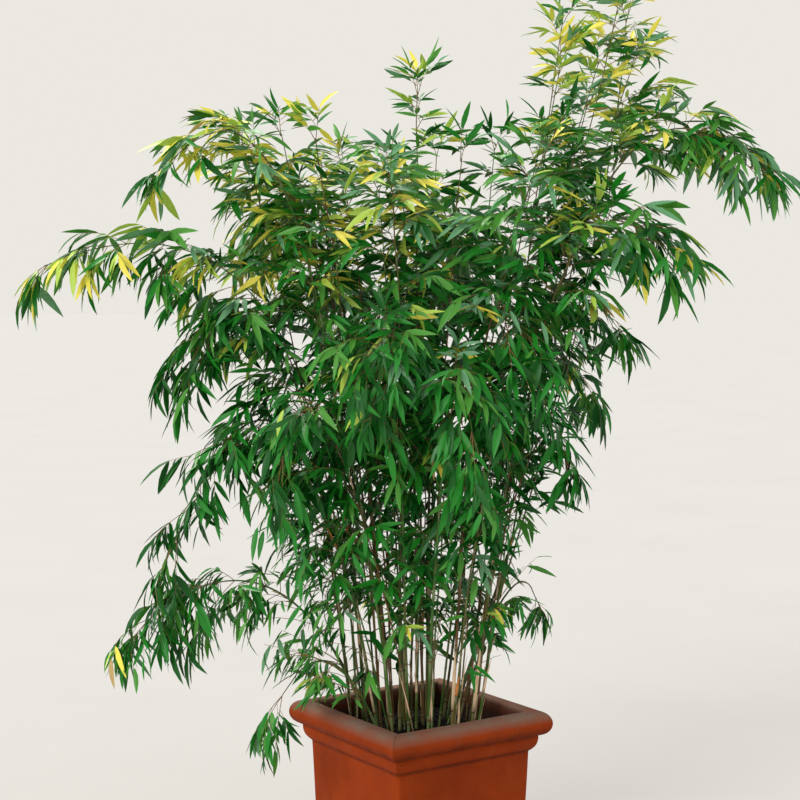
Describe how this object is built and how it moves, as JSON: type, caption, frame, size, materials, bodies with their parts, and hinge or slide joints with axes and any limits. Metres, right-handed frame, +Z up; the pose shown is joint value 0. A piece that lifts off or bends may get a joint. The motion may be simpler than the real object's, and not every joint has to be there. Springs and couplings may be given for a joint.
{
  "type": "potted bamboo",
  "caption": "Clump of slender arching canes with drooping lance-shaped leaves, growing in a square clay planter with a rolled rim.",
  "frame": {"origin": "middle of the planter's flat underside", "axes": "+Z up along the planter's axis, +X and +Y square to the planter's sides; the picture's view is 34 degrees round from the side that faces -Y"},
  "size_m": [1.5372, 1.2758, 2.0475],
  "materials": {
    "clay": "unglazed, weathered",
    "earth": "moist crumbly soil",
    "cane": "smooth, waxy",
    "leaf": "soft satin"
  },
  "bodies": {
    "root": {"pot": "clay", "soil": "earth", "cane_back_1": "cane", "cane_back_2": "cane", "cane_back_3": "cane", "cane_back_4": "cane", "cane_centre_spire": "cane", "cane_core_1": "cane", "cane_core_2": "cane", "cane_foot_spray": "cane", "cane_front_1": "cane", "cane_front_2": "cane", "cane_front_3": "cane", "cane_front_4": "cane", "cane_inner_1": "cane", "cane_inner_2": "cane", "cane_inner_3": "cane", "cane_inner_4": "cane", "cane_inner_5": "cane", "cane_inner_6": "cane", "cane_inner_7": "cane", "cane_inner_8": "cane", "cane_left_arm": "cane", "cane_left_drop": "cane", "cane_left_low": "cane", "cane_left_mid": "cane", "cane_left_shoulder": "cane", "cane_right_arm": "cane", "cane_right_low": "cane", "cane_right_mid": "cane", "cane_right_shoulder": "cane", "cane_right_spire": "cane", "cane_right_sprig": "cane", "cane_upper_left": "cane", "cane_upper_right": "cane", "leaves_back_1": "leaf", "leaves_back_2": "leaf", "leaves_back_3": "leaf", "leaves_back_4": "leaf", "leaves_centre_spire": "leaf", "leaves_core_1": "leaf", "leaves_core_2": "leaf", "leaves_foot_spray": "leaf", "leaves_front_1": "leaf", "leaves_front_2": "leaf", "leaves_front_3": "leaf", "leaves_front_4": "leaf", "leaves_left_arm": "leaf", "leaves_left_drop": "leaf", "leaves_left_low": "leaf", "leaves_left_mid": "leaf", "leaves_left_shoulder": "leaf", "leaves_right_arm": "leaf", "leaves_right_low": "leaf", "leaves_right_mid": "leaf", "leaves_right_shoulder": "leaf", "leaves_right_spire": "leaf", "leaves_right_sprig": "leaf", "leaves_upper_left": "leaf", "leaves_upper_right": "leaf"}
  },
  "joints": []
}
